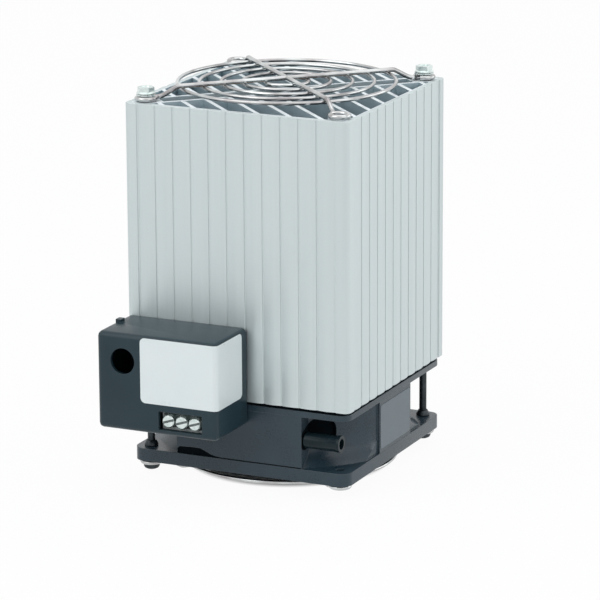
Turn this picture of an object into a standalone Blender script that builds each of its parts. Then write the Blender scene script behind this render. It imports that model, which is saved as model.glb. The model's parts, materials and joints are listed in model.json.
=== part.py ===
"""Enclosure heater: a ribbed aluminium extrusion with a diagonal heating channel, an axial fan
under it, wire guards on both ends and a terminal box on the left front face.

Lengths below are millimetres. X runs along the left front face, Y goes back, Z is up.
The fan axis is the line the pieces are laid out from; SHIFT then puts the middle of the
underside of the whole heater at the world origin.
"""

from math import cos, pi, radians, sin, sqrt

import bmesh
import bpy
from mathutils import Matrix, Vector

MM = 0.001

# Clearance between pieces that touch in the real heater
SEAT = 0.3

# Axial fan, standard 119 mm frame
FAN_W = 119.0
FAN_H = 38.0
FAN_CORNER_R = 6.0
HOLE_INSET = 7.1
FAN_HOLE_R = 2.25
FLANGE_LOW = 6.6
FLANGE_TOP = 4.5
BORE_INSET = 2.5
BARREL_WALL = 4.3
FLARE_OUT = 6.7
FLARE_H = 9.0
SIDE_PLATE_W = 39.0
FRONT_STEP = 25.0
STRUT_W = 5.0
STRUT_T = 3.4
HUB_PLATE_R = 29.0
BEARING_TUBE_R = 7.0
BEARING_BORE_R = 4.8

# Impeller and motor
TIP_GAP = 1.8
HUB_R = 31.0
HUB_WALL = 2.0
HUB_FACE = 2.5
HUB_BOTTOM = 4.0
HUB_TOP = 32.0
BLADES = 7
BLADE_T = 1.7
BLADE_LOW = 7.0
BLADE_TOP = 29.5
SHAFT_R = 2.0
HUB_BOSS_R = 5.4
HUB_BOSS_H = 4.0
STATOR_R = 26.5
BEARING_H = 4.0

# Extruded heatsink
HS_OVERHANG = 1.2
HS_H = 146.0
HS_CORNER_R = 3.0
RIB_MARGIN = 3.0
RIB_PITCH = 9.72
GROOVE_W = 0.9
GROOVE_D = 1.3
RIB_CROWN = 0.45
WALL_T = 1.9
CHANNEL_W = 9.2
WEB_T = 2.0
FIN_FIRST = 8.6
FIN_PITCH = 12.2
FIN_T = 2.2
BOSS_R = 5.7
BOSS_HOLE_R = 2.25

# Heating elements in the diagonal channel
ELEMENT_W = 44.0
ELEMENT_H = 122.0
ELEMENT_GAP = 10.0

# Wire guards
RING_WIRE_R = 0.95
LEG_WIRE_R = 1.2
RING_STEP = 11.0
WELD = 0.35
LEG_Z = 5.9
EYE_R = 4.65
EYE_FOOT = 1.35
EYE_START = 145
EYE_END = -135
EYE_STEP = 35
LEG_OVER = 2.0
WIRE_SIDES = 6

# Screws
SCREW_R = 1.9
HEX_AF = 7.4
HEX_FLANGE_R = 4.75
HEX_FLANGE_T = 1.1
HEX_HEAD_H = 2.9
TOP_SCREW_L = 18.0
WASHER_R = 4.9
WASHER_T = 0.6
PAN_R = 4.15
PAN_H = 2.5
LOW_SCREW_DEPTH = 12.0
COLLAR_R = 3.5
COLLAR_H = 2.6

# Terminal box on the left front face
BOX_INSET = 0.5
BOX_W = 65.8
BOX_D = 33.8
BOX_LOW = 26.6
BOX_H = 49.6
BOX_WALL = 2.0
BOX_EDGE_R = 2.6
BASE_T = 2.2
CABLE_HOLE_R = 6.6
CABLE_HOLE_IN = 14.2
CABLE_HOLE_DOWN = 14.0
PORT_IN = 8.3
PORT_W = 23.8
PORT_UP = 2.8
PORT_H = 9.4
TERMINAL_PITCH = 7.2
TERMINAL_R = 3.3
TERMINAL_L = 7.0
TERMINAL_RECESS = 0.9
BLOCK_BEHIND = 1.7
BLOCK_D = 15.0
BLOCK_H = 17.0
POST_SPREAD = 17.0
POST_W = 5.0
TAB = 1.5

# Fan connector in the front corner recess
PLUG_R = 4.1
PLUG_L = 19.6
PLUG_GAP = 0.2
PLUG_UP = 20.8
PLUG_BORE_R = 2.7
PLUG_BORE_D = 8.0

FAN_HALF = FAN_W / 2
HOLE = FAN_HALF - HOLE_INSET
BORE_R = FAN_HALF - BORE_INSET
BARREL_R = BORE_R + BARREL_WALL
FLARE_R = BARREL_R + FLARE_OUT
TIP_R = BORE_R - TIP_GAP
PLATE_LOW = FAN_H - SEAT - STRUT_T
FRONT_END = FAN_HALF - FRONT_STEP
HS_HALF = FAN_HALF + HS_OVERHANG
HS_LOW = FAN_H + SEAT
HS_TOP = HS_LOW + HS_H
RIB_GROOVES = 1 + int(2 * (HS_HALF - HS_CORNER_R - RIB_MARGIN) / RIB_PITCH)
WALL_IN = HS_HALF - GROOVE_D - WALL_T
CHANNEL_END = sqrt(2) * HOLE - BOSS_R - WALL_T
GUARD_H = LEG_Z + LEG_WIRE_R
RINGS = int(BORE_R / RING_STEP)
RING_OUT = RING_STEP * RINGS
BEND_S = RING_OUT + LEG_OVER
BOX_BACK = -HS_HALF - SEAT
BOX_FRONT = BOX_BACK - BOX_D
BOX_LEFT = BOX_INSET - HS_HALF
BOX_RIGHT = BOX_LEFT + BOX_W
BOX_TOP = BOX_LOW + BOX_H
CABLE_HOLE_X = BOX_LEFT + CABLE_HOLE_IN
CABLE_HOLE_Z = BOX_TOP - CABLE_HOLE_DOWN
PORT_X = BOX_RIGHT - PORT_IN - PORT_W / 2
PORT_LOW = BOX_LOW + PORT_UP
BLOCK_FRONT = BOX_FRONT + BOX_WALL + BLOCK_BEHIND + SEAT
BLOCK_BACK = BLOCK_FRONT + BLOCK_D
PLUG_X = FRONT_END + SEAT
PLUG_RIM = PLUG_R + 0.25
PLUG_Y = -sqrt((BARREL_R + PLUG_GAP) ** 2 - PLUG_X**2) - PLUG_RIM
PLUG_Z = PLUG_UP
SHIFT = Vector((0.0, -(BOX_FRONT + HS_HALF) / 2, GUARD_H + SEAT)) * MM
DIAG = 1 / sqrt(2)
LEFT_RIGHT = (DIAG, DIAG)
FRONT_BACK = (DIAG, -DIAG)


def material(name, colour, roughness, metallic):
    """One Principled material for each slot, made once."""
    mat = bpy.data.materials.get(name)
    if mat:
        return mat
    mat = bpy.data.materials.new(name)
    mat.use_nodes = True
    shader = mat.node_tree.nodes["Principled BSDF"]
    shader.inputs["Base Color"].default_value = (*colour, 1.0)
    shader.inputs["Roughness"].default_value = roughness
    shader.inputs["Metallic"].default_value = metallic
    mat.diffuse_color = (*colour, 1.0)
    return mat


def aluminium():
    return material("extruded_aluminium", (0.60, 0.64, 0.64), 0.42, 1.0)


def chrome():
    return material("plated_wire", (0.72, 0.70, 0.69), 0.16, 1.0)


def zinc():
    return material("zinc_plated_steel", (0.62, 0.68, 0.67), 0.32, 1.0)


def black_steel():
    return material("blackened_steel", (0.035, 0.045, 0.05), 0.38, 0.7)


def cast_black():
    return material("cast_black", (0.045, 0.058, 0.066), 0.5, 0.0)


def box_plastic():
    return material("box_plastic", (0.032, 0.05, 0.056), 0.42, 0.0)


def pale_plastic():
    return material("pale_plastic", (0.55, 0.58, 0.58), 0.5, 0.0)


def rotor_black():
    return material("rotor_black", (0.02, 0.024, 0.027), 0.55, 0.0)


def winding():
    return material("winding", (0.35, 0.13, 0.05), 0.5, 0.2)


def steel():
    return material("bearing_steel", (0.55, 0.55, 0.56), 0.28, 1.0)


def element_film():
    return material("element_film", (0.42, 0.2, 0.06), 0.4, 0.0)


def place(name, verts, faces, mat, smooth=True):
    """An object from corner points in millimetres about the fan axis."""
    mesh = bpy.data.meshes.new(name)
    mesh.from_pydata([Vector(v) * MM for v in verts], [], faces)
    bm = bmesh.new()
    bm.from_mesh(mesh)
    bmesh.ops.recalc_face_normals(bm, faces=bm.faces)
    bm.to_mesh(mesh)
    bm.free()
    obj = bpy.data.objects.new(name, mesh)
    bpy.context.scene.collection.objects.link(obj)
    obj.location = SHIFT
    obj.data.materials.append(mat)
    if smooth:
        soften(obj)
    return obj


def soften(obj):
    obj.data.shade_smooth()
    obj.data.set_sharp_from_angle(angle=radians(32))


def combine(obj, other, operation):
    """Boolean of obj with other, which is used up."""
    modifier = obj.modifiers.new(operation.title(), "BOOLEAN")
    modifier.operation = operation
    modifier.solver = "EXACT"
    modifier.object = other
    bpy.context.view_layer.update()
    graph = bpy.context.evaluated_depsgraph_get()
    result = bpy.data.meshes.new_from_object(obj.evaluated_get(graph))
    obj.modifiers.clear()
    obj.data = result
    bpy.data.objects.remove(other)
    soften(obj)
    return obj


def cut(obj, other):
    return combine(obj, other, "DIFFERENCE")


def join(obj, other):
    return combine(obj, other, "UNION")


def prism(name, outline, z0, z1, mat, smooth=True):
    """The outline, a list of (x, y), stood up from z0 to z1."""
    n = len(outline)
    verts = [(x, y, z0) for x, y in outline] + [(x, y, z1) for x, y in outline]
    faces = [tuple(range(n))[::-1], tuple(range(n, 2 * n))]
    faces += [(i, (i + 1) % n, n + (i + 1) % n, n + i) for i in range(n)]
    return place(name, verts, faces, mat, smooth)


def prisms(name, outlines, z0, z1, mat):
    """Several separate prisms in one mesh."""
    verts = []
    faces = []
    for outline in outlines:
        n = len(outline)
        first = len(verts)
        verts += [(x, y, z0) for x, y in outline] + [(x, y, z1) for x, y in outline]
        faces.append(tuple(range(first, first + n))[::-1])
        faces.append(tuple(range(first + n, first + 2 * n)))
        for i in range(n):
            k = (i + 1) % n
            faces.append((first + i, first + k, first + n + k, first + n + i))
    return place(name, verts, faces, mat)


def circle(cx, cy, r, sides, phase=0.0):
    return [
        (cx + r * cos(phase + 2 * pi * i / sides), cy + r * sin(phase + 2 * pi * i / sides))
        for i in range(sides)
    ]


def block(name, x, y, z, mat):
    """A box from its (low, high) limits on each axis."""
    outline = [(x[0], y[0]), (x[1], y[0]), (x[1], y[1]), (x[0], y[1])]
    return prism(name, outline, z[0], z[1], mat, smooth=False)


def rounded_square(half, r, steps=5):
    points = []
    for sx, sy, start in ((1, 1, 0), (-1, 1, 90), (-1, -1, 180), (1, -1, 270)):
        for i in range(steps + 1):
            a = radians(start + 90 * i / steps)
            points.append((sx * (half - r) + r * cos(a), sy * (half - r) + r * sin(a)))
    return points


def turned(name, profile, sides, mat, centre=(0.0, 0.0), closed=False):
    """The profile, (radius, z) points, turned about a vertical line.

    An open profile starts and ends on the line. A closed one makes a ring.
    """
    verts = []
    rows = []
    for r, z in profile:
        if r == 0:
            rows.append([len(verts)] * sides)
            verts.append((centre[0], centre[1], z))
            continue
        rows.append(list(range(len(verts), len(verts) + sides)))
        verts += [(x, y, z) for x, y in circle(*centre, r, sides)]
    faces = []
    last = len(rows) if closed else len(rows) - 1
    for k in range(last):
        low = rows[k]
        high = rows[(k + 1) % len(rows)]
        for i in range(sides):
            j = (i + 1) % sides
            corners = [low[i], low[j], high[j], high[i]]
            unique = [c for n, c in enumerate(corners) if c not in corners[:n]]
            if len(unique) > 2:
                faces.append(tuple(unique))
    return place(name, verts, faces, mat)


def swept(path, radius, sides, closed=False):
    """Corner points and faces of a round wire along the path, which is never upright."""
    points = [Vector(p) for p in path]
    n = len(points)
    verts = []
    up = Vector((0, 0, 1))
    for k, point in enumerate(points):
        before = points[k - 1] if k or closed else point
        after = points[(k + 1) % n] if k < n - 1 or closed else point
        into = (point - before).normalized() if point != before else Vector()
        out = (after - point).normalized() if after != point else Vector()
        along = (into + out).normalized()
        normal = (up - along * up.dot(along)).normalized()
        side = along.cross(normal)
        bend = max(0.5, along.dot(out if out.length else into))
        turn = out - into if into.length and out.length else Vector()
        for i in range(sides):
            a = 2 * pi * (i + 0.5) / sides
            spoke = side * cos(a) + normal * sin(a)
            if turn.length > 1e-4:
                lean = turn.normalized()
                spoke += lean * spoke.dot(lean) * (1 / bend - 1)
            verts.append(point + spoke * radius)
    faces = []
    for k in range(n if closed else n - 1):
        for i in range(sides):
            j = (i + 1) % sides
            a = k * sides
            b = ((k + 1) % n) * sides
            faces.append((a + i, a + j, b + j, b + i))
    if not closed:
        faces.append(tuple(range(sides))[::-1])
        faces.append(tuple(range((n - 1) * sides, n * sides)))
    return verts, faces


def wire(name, path, radius, mat, closed=False):
    verts, faces = swept(path, radius, WIRE_SIDES, closed)
    return place(name, verts, faces, mat)


def ribbed_outline():
    """The outside of the extrusion: crowned ribs with a narrow groove between each two."""
    side = []
    first = -RIB_PITCH * (RIB_GROOVES - 1) / 2
    for k in range(RIB_GROOVES):
        mid = first + k * RIB_PITCH
        edge = 0.0 if k == 0 else -RIB_CROWN
        side.append((mid - GROOVE_W / 2, edge))
        side.append((mid - GROOVE_W / 2, -GROOVE_D))
        side.append((mid + GROOVE_W / 2, -GROOVE_D))
        if k == RIB_GROOVES - 1:
            side.append((mid + GROOVE_W / 2, 0.0))
            continue
        span = RIB_PITCH - GROOVE_W
        for i in range(4):
            t = i / 3
            side.append((mid + GROOVE_W / 2 + t * span, -RIB_CROWN * (2 * t - 1) ** 2))
        side.pop()
    outline = []
    for quarter in range(4):
        a = quarter * pi / 2
        for along, out in side:
            x, y = along, -HS_HALF - out
            outline.append((x * cos(a) - y * sin(a), x * sin(a) + y * cos(a)))
        for i in range(4):
            b = a - pi / 2 + (pi / 2) * (i / 3)
            c = HS_HALF - HS_CORNER_R
            cx = c * cos(a) + c * sin(a)
            cy = c * sin(a) - c * cos(a)
            outline.append((cx + HS_CORNER_R * cos(b), cy + HS_CORNER_R * sin(b)))
    return outline


def clipped(polygon, nx, ny, limit):
    """The part of a convex polygon where nx * x + ny * y is under the limit."""
    result = []
    for i, (x0, y0) in enumerate(polygon):
        x1, y1 = polygon[(i + 1) % len(polygon)]
        d0 = nx * x0 + ny * y0 - limit
        d1 = nx * x1 + ny * y1 - limit
        if d0 <= 0:
            result.append((x0, y0))
        if d0 * d1 < 0:
            t = d0 / (d0 - d1)
            result.append((x0 + t * (x1 - x0), y0 + t * (y1 - y0)))
    return result


def duct_outlines():
    """The air ducts between the fins, on both sides of the heating channel."""
    inside = [(-WALL_IN, -WALL_IN), (WALL_IN, -WALL_IN), (WALL_IN, WALL_IN), (-WALL_IN, WALL_IN)]
    web = CHANNEL_W / 2 + WEB_T
    reach = sqrt(2) * WALL_IN - web
    count = 1 + int((reach - FIN_T - FIN_FIRST) / FIN_PITCH)
    stations = [FIN_FIRST + k * FIN_PITCH for k in range(count)]
    bounds = [-2 * reach] + [-s for s in reversed(stations)] + stations + [2 * reach]
    found = []
    for side in (1, -1):
        half = clipped(inside, -side * DIAG, side * DIAG, -web)
        for low, high in zip(bounds, bounds[1:]):
            duct = clipped(half, -DIAG, -DIAG, -(low + FIN_T / 2))
            duct = clipped(duct, DIAG, DIAG, high - FIN_T / 2)
            if len(duct) > 2:
                found.append(duct)
    return found


def channel_outline():
    """The diagonal slot from the left screw boss to the right one."""
    half = CHANNEL_W / 2
    end = CHANNEL_END
    corners = ((-end, -half), (end, -half), (end, half), (-end, half))
    return [(DIAG * (s + d), DIAG * (s - d)) for s, d in corners]


def heatsink():
    body = prism("heatsink_extrusion", ribbed_outline(), HS_LOW, HS_TOP, aluminium())
    slots = duct_outlines() + [channel_outline()]
    cut(body, prisms("ducts", slots, HS_LOW - 5, HS_TOP + 5, aluminium()))
    corners = [(sx * HOLE, sy * HOLE) for sx in (1, -1) for sy in (1, -1)]
    bosses = [circle(x, y, BOSS_R, 20) for x, y in corners]
    join(body, prisms("bosses", bosses, HS_LOW, HS_TOP, aluminium()))
    holes = [circle(x, y, BOSS_HOLE_R, 12) for x, y in corners]
    cut(body, prisms("holes", holes, HS_LOW - 5, HS_TOP + 5, aluminium()))
    return body


def heating_element(name, side):
    s = side * (ELEMENT_GAP + ELEMENT_W) / 2
    half_w = ELEMENT_W / 2
    half_t = CHANNEL_W / 2 - SEAT
    low = HS_LOW + (HS_H - ELEMENT_H) / 2
    corners = ((s - half_w, -half_t), (s + half_w, -half_t), (s + half_w, half_t), (s - half_w, half_t))
    outline = [(DIAG * (a + d), DIAG * (a - d)) for a, d in corners]
    return prism(name, outline, low, low + ELEMENT_H, element_film(), smooth=False)


def clipped_circle(r, half, sides=72):
    """A circle with its four sides cut flat."""
    outline = circle(0, 0, r, sides, pi / sides)
    for nx, ny in ((1, 0), (-1, 0), (0, 1), (0, -1)):
        outline = clipped(outline, nx, ny, half)
    return outline


def flare(mat):
    """The skirt that widens from the barrel to the lower flange, cut square at the sides."""
    profile = (
        (0.0, FLANGE_LOW - 0.5),
        (FLARE_R, FLANGE_LOW - 0.5),
        (BARREL_R + 1.6, FLANGE_LOW + FLARE_H * 0.45),
        (BARREL_R - 0.6, FLANGE_LOW + FLARE_H),
        (0.0, FLANGE_LOW + FLARE_H),
    )
    skirt = turned("flare", profile, 72, mat)
    half = FAN_HALF - 1.3
    sides = block("sides", (-half, half), (-half, half), (0, FAN_H), mat)
    return combine(skirt, sides, "INTERSECT")


def fan_housing():
    mat = cast_black()
    flange = rounded_square(FAN_HALF, FAN_CORNER_R)
    body = prism("fan_housing", flange, 0, FLANGE_LOW, mat)
    join(body, prism("top", flange, FAN_H - FLANGE_TOP, FAN_H, mat))
    barrel = clipped_circle(BARREL_R, FAN_HALF - 0.6)
    join(body, prism("barrel", barrel, FLANGE_LOW - 1, FAN_H - FLANGE_TOP + 1, mat))
    join(body, flare(mat))
    edge = FAN_HALF - 0.1
    half = SIDE_PLATE_W / 2
    wall_z = (FLANGE_LOW - 1.6, FAN_H - FLANGE_TOP + 1.6)
    join(body, block("plate_right", (BORE_R - 2, edge), (-half, half), wall_z, mat))
    join(body, block("plate_left", (-edge, -BORE_R + 2), (-half, half), wall_z, mat))
    join(body, block("plate_back", (-half, half), (BORE_R - 2, edge), wall_z, mat))
    wall_z = (FLANGE_LOW - 2.1, FAN_H - FLANGE_TOP + 2.1)
    wall_x = (-FRONT_END, FRONT_END)
    join(body, block("wall_front", wall_x, (-edge, -BORE_R + 9), wall_z, mat))
    cut(body, prism("bore", circle(0, 0, BORE_R, 72), -5, FAN_H + 5, mat))
    cut(body, plug_pocket(mat))
    corners = [(sx * HOLE, sy * HOLE) for sx in (1, -1) for sy in (1, -1)]
    holes = [circle(x, y, FAN_HOLE_R, 12) for x, y in corners]
    cut(body, prisms("holes", holes, -5, FAN_H + 5, mat))
    plate_z = PLATE_LOW
    spokes = []
    for k in range(4):
        a = radians(45 + 90 * k)
        ux, uy = cos(a), sin(a)
        corners = ((HUB_PLATE_R - 4, -1), (BORE_R + 2, -1), (BORE_R + 2, 1), (HUB_PLATE_R - 4, 1))
        spokes.append(
            [(r * ux - w * STRUT_W / 2 * uy, r * uy + w * STRUT_W / 2 * ux) for r, w in corners]
        )
    carrier = prism("plate", circle(0, 0, HUB_PLATE_R, 48), plate_z, FAN_H - SEAT, mat)
    join(carrier, prisms("struts", spokes, plate_z, FAN_H - SEAT, mat))
    tube_low = HUB_BOTTOM + HUB_FACE + HUB_BOSS_H + 1.2
    tube = (
        (BEARING_BORE_R, tube_low),
        (BEARING_TUBE_R, tube_low),
        (BEARING_TUBE_R, plate_z + 0.8),
        (BEARING_BORE_R, plate_z + 0.8),
    )
    join(carrier, turned("tube", tube, 24, mat, closed=True))
    join(body, carrier)
    return body


def plug_pocket(mat):
    """The dark arched pocket in the barrel, behind and above the connector."""
    x0 = FRONT_END + 1.2
    x1 = x0 + 14.0
    arch = [(x0, PLUG_Z - 1), (x1, PLUG_Z - 1)]
    arch += [
        ((x0 + x1) / 2 + 7.0 * cos(radians(a)), PLUG_Z + 3.5 + 6.5 * sin(radians(a)))
        for a in range(0, 181, 20)
    ]
    n = len(arch)
    y0, y1 = -BARREL_R - 2.0, -BARREL_R + 23.0
    verts = [(x, y0, z) for x, z in arch]
    verts += [(x - 5.0, y1, z) for x, z in arch]
    faces = [tuple(range(n)), tuple(range(n, 2 * n))[::-1]]
    faces += [(i, n + i, n + (i + 1) % n, (i + 1) % n) for i in range(n)]
    pocket = place("pocket", verts, faces, mat)
    keep = prism("keep", circle(0, 0, BARREL_R - 2.4, 72), 0, FAN_H, mat)
    return cut(pocket, keep)


def fan_plug():
    """A sleeve pushed on from the step in the front wall, its open end to the right."""
    profile = (
        (0.0, 0.0),
        (PLUG_R - 0.6, 0.0),
        (PLUG_R, 0.6),
        (PLUG_R, PLUG_L - 2.2),
        (PLUG_RIM, PLUG_L - 1.8),
        (PLUG_RIM, PLUG_L),
        (PLUG_BORE_R, PLUG_L),
        (PLUG_BORE_R, PLUG_L - PLUG_BORE_D),
        (0.0, PLUG_L - PLUG_BORE_D),
    )
    plug = turned("fan_terminal_plug", profile, 20, rotor_black())
    spin = Matrix.Rotation(pi / 2, 4, "Y")
    plug.data.transform(Matrix.Translation(Vector((PLUG_X, PLUG_Y, PLUG_Z)) * MM) @ spin)
    return plug


def blade(k):
    """Corner points and faces of one blade, its root inside the hub wall."""
    spans, chords = 4, 5
    turn = 2 * pi * k / BLADES
    grid = []
    for i in range(spans + 1):
        u = i / spans
        r = (HUB_R - 1.0) + u * (TIP_R - HUB_R + 1.0)
        sweep = radians(46 - 12 * u)
        row = []
        for j in range(chords + 1):
            v = j / chords
            a = turn + radians(10 * u) + sweep * (v - 0.22 * (v - v * v))
            z = BLADE_LOW + (BLADE_TOP - BLADE_LOW) * (v * (0.92 + 0.08 * u) + 0.02)
            row.append(Vector((r * cos(a), r * sin(a), z)))
        grid.append(row)
    verts = []
    for side in (1, -1):
        for i in range(spans + 1):
            for j in range(chords + 1):
                du = grid[min(i + 1, spans)][j] - grid[max(i - 1, 0)][j]
                dv = grid[i][min(j + 1, chords)] - grid[i][max(j - 1, 0)]
                normal = du.cross(dv).normalized()
                thick = BLADE_T * (0.5 + 1.2 * (j / chords) * (1 - j / chords))
                verts.append(grid[i][j] + normal * side * thick / 2)
    row = chords + 1
    n = (spans + 1) * row
    faces = []
    for i in range(spans):
        for j in range(chords):
            a = i * row + j
            quad = (a, a + 1, a + row + 1, a + row)
            faces.append(quad)
            faces.append(tuple(n + q for q in reversed(quad)))
    rim = [j for j in range(row)] + [i * row + chords for i in range(1, spans + 1)]
    rim += [spans * row + j for j in range(chords - 1, -1, -1)]
    rim += [i * row for i in range(spans - 1, 0, -1)]
    for p, q in zip(rim, rim[1:] + rim[:1]):
        faces.append((q, p, n + p, n + q))
    return verts, faces


def impeller():
    inner = HUB_R - HUB_WALL
    floor = HUB_BOTTOM + HUB_FACE
    profile = (
        (0.0, HUB_BOTTOM),
        (HUB_R - 2.0, HUB_BOTTOM),
        (HUB_R, HUB_BOTTOM + 2.0),
        (HUB_R, HUB_TOP),
        (inner, HUB_TOP),
        (inner, floor),
        (HUB_BOSS_R, floor),
        (HUB_BOSS_R, floor + HUB_BOSS_H),
        (SHAFT_R + SEAT, floor + HUB_BOSS_H),
        (SHAFT_R + SEAT, floor),
        (0.0, floor),
    )
    body = turned("fan_impeller", profile, 40, rotor_black())
    verts = []
    faces = []
    for k in range(BLADES):
        points, sides = blade(k)
        first = len(verts)
        verts += points
        faces += [tuple(first + i for i in side) for side in sides]
    join(body, place("blades", verts, faces, rotor_black()))
    return body


def motor():
    floor = HUB_BOTTOM + HUB_FACE
    plate_z = PLATE_LOW
    shaft = (
        (0.0, floor + SEAT),
        (SHAFT_R, floor + SEAT),
        (SHAFT_R, plate_z - SEAT - 0.4),
        (0.0, plate_z - SEAT - 0.4),
    )
    turned("fan_shaft", shaft, 20, steel())
    tube_low = floor + HUB_BOSS_H + 1.2
    for name, low in (
        ("fan_bearing_lower", tube_low + 0.5),
        ("fan_bearing_upper", plate_z - BEARING_H - 1.2),
    ):
        ring = (
            (SHAFT_R + SEAT, low),
            (BEARING_BORE_R - SEAT, low),
            (BEARING_BORE_R - SEAT, low + BEARING_H),
            (SHAFT_R + SEAT, low + BEARING_H),
        )
        turned(name, ring, 24, steel(), closed=True)
    low = floor + HUB_BOSS_H + 1.0
    high = plate_z - SEAT
    bore = BEARING_TUBE_R + SEAT
    stator = (
        (bore, low + 3),
        (bore + 5, low),
        (STATOR_R - 3, low),
        (STATOR_R, low + 3),
        (STATOR_R, high - 4),
        (STATOR_R - 3, high),
        (bore, high),
    )
    turned("fan_stator", stator, 36, winding(), closed=True)


def leg_end(direction, sign):
    """One end of a guard leg: down from the outer ring and once round the corner hole."""
    ux, uy = direction[0] * sign, direction[1] * sign
    vx, vy = -uy, ux
    hole = sqrt(2) * HOLE
    flat = LEG_WIRE_R
    foot = hole - EYE_R - EYE_FOOT
    steps = [(BEND_S, 0.0, LEG_Z), (BEND_S + 2.0, 0.0, LEG_Z - 0.7)]
    steps += [(foot - 2.8, -0.4, flat + 0.6), (foot, -0.9, flat)]
    for a in range(EYE_START, EYE_END - 1, -EYE_STEP):
        steps.append((hole + EYE_R * cos(radians(a)), EYE_R * sin(radians(a)), flat))
    return [(s * ux + t * vx, s * uy + t * vy, z) for s, t, z in steps]


def leg_path(direction):
    far = leg_end(direction, -1)
    near = leg_end(direction, 1)
    return far[::-1] + near


def guard(name):
    """Evenly spaced rings under two crossed wires, each wire bent to an eye at both ends."""
    mat = chrome()
    body = wire(name, leg_path(LEFT_RIGHT), LEG_WIRE_R, mat)
    join(body, wire("leg", leg_path(FRONT_BACK), LEG_WIRE_R, mat))
    ring_z = LEG_Z - LEG_WIRE_R - RING_WIRE_R + WELD
    for k in range(RINGS):
        r = RING_STEP * (k + 1)
        sides = 20 + 4 * k
        path = [(x, y, ring_z) for x, y in circle(0, 0, r, sides, pi / 4 + 0.8 * pi / sides)]
        join(body, wire("ring", path, RING_WIRE_R, mat, closed=True))
    return body


def guards():
    top = guard("guard_top")
    bottom = guard("guard_bottom")
    top.data.transform(Matrix.Translation(Vector((0, 0, HS_TOP + SEAT)) * MM))
    flip = Matrix.Rotation(pi, 4, Vector((DIAG, DIAG, 0)))
    bottom.data.transform(Matrix.Translation(Vector((0, 0, -SEAT)) * MM) @ flip)


def hexagon(cx, cy, across):
    return circle(cx, cy, across / sqrt(3), 6, pi / 12)


def top_screw(name, washer_name, x, y):
    """A flanged hexagon screw over a toothed washer, both over the eye of the guard."""
    eye_top = HS_TOP + SEAT + 2 * LEG_WIRE_R
    washer_z = eye_top + SEAT
    teeth = []
    for i in range(24):
        a = 2 * pi * i / 24
        r = WASHER_R - (0.55 if i % 2 else 0.0)
        teeth.append((x + r * cos(a), y + r * sin(a)))
    washer = prism(washer_name, teeth, washer_z, washer_z + WASHER_T, zinc(), smooth=False)
    cut(washer, prism("hole", circle(x, y, SCREW_R + SEAT, 12), washer_z - 2, washer_z + 3, zinc()))
    base = washer_z + WASHER_T + SEAT
    profile = (
        (0.0, base - TOP_SCREW_L),
        (SCREW_R - 0.6, base - TOP_SCREW_L),
        (SCREW_R, base - TOP_SCREW_L + 0.8),
        (SCREW_R, base),
        (HEX_FLANGE_R, base),
        (HEX_FLANGE_R, base + HEX_FLANGE_T * 0.5),
        (HEX_FLANGE_R - 0.8, base + HEX_FLANGE_T),
        (0.0, base + HEX_FLANGE_T),
    )
    screw = turned(name, profile, 20, zinc(), centre=(x, y))
    head = prism("head", hexagon(x, y, HEX_AF), base + 0.4, base + HEX_HEAD_H + 0.4, zinc())
    dish = turned(
        "dish",
        ((0.0, base + HEX_HEAD_H - 0.2), (2.4, base + HEX_HEAD_H), (2.9, base + 5), (0.0, base + 5)),
        16,
        zinc(),
        centre=(x, y),
    )
    cut(head, dish)
    join(screw, head)
    return screw


def low_screw(name, collar_name, x, y):
    """A dark pan-head screw up through the fan into the extrusion, with a collar on the flange."""
    seat = -(SEAT + 2 * LEG_WIRE_R + SEAT)
    tip = HS_LOW + LOW_SCREW_DEPTH
    profile = (
        (0.0, seat - PAN_H),
        (PAN_R - 1.6, seat - PAN_H),
        (PAN_R - 0.5, seat - PAN_H + 0.6),
        (PAN_R, seat - PAN_H + 1.6),
        (PAN_R, seat),
        (SCREW_R, seat),
        (SCREW_R, tip - 0.8),
        (SCREW_R - 0.6, tip),
        (0.0, tip),
    )
    screw = turned(name, profile, 20, black_steel(), centre=(x, y))
    for angle in (pi / 4, 3 * pi / 4):
        bar = block(
            "slot", (-2.4, 2.4), (-0.5, 0.5), (seat - PAN_H - 1, seat - PAN_H + 1.1), black_steel()
        )
        bar.data.transform(
            Matrix.Translation(Vector((x, y, 0)) * MM) @ Matrix.Rotation(angle, 4, "Z")
        )
        cut(screw, bar)
    low = FLANGE_LOW + SEAT
    collar = (
        (SCREW_R + SEAT, low),
        (COLLAR_R, low),
        (COLLAR_R, low + 0.8),
        (COLLAR_R - 1.0, low + COLLAR_H),
        (SCREW_R + SEAT, low + COLLAR_H),
    )
    turned(collar_name, collar, 16, black_steel(), centre=(x, y), closed=True)
    return screw


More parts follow.
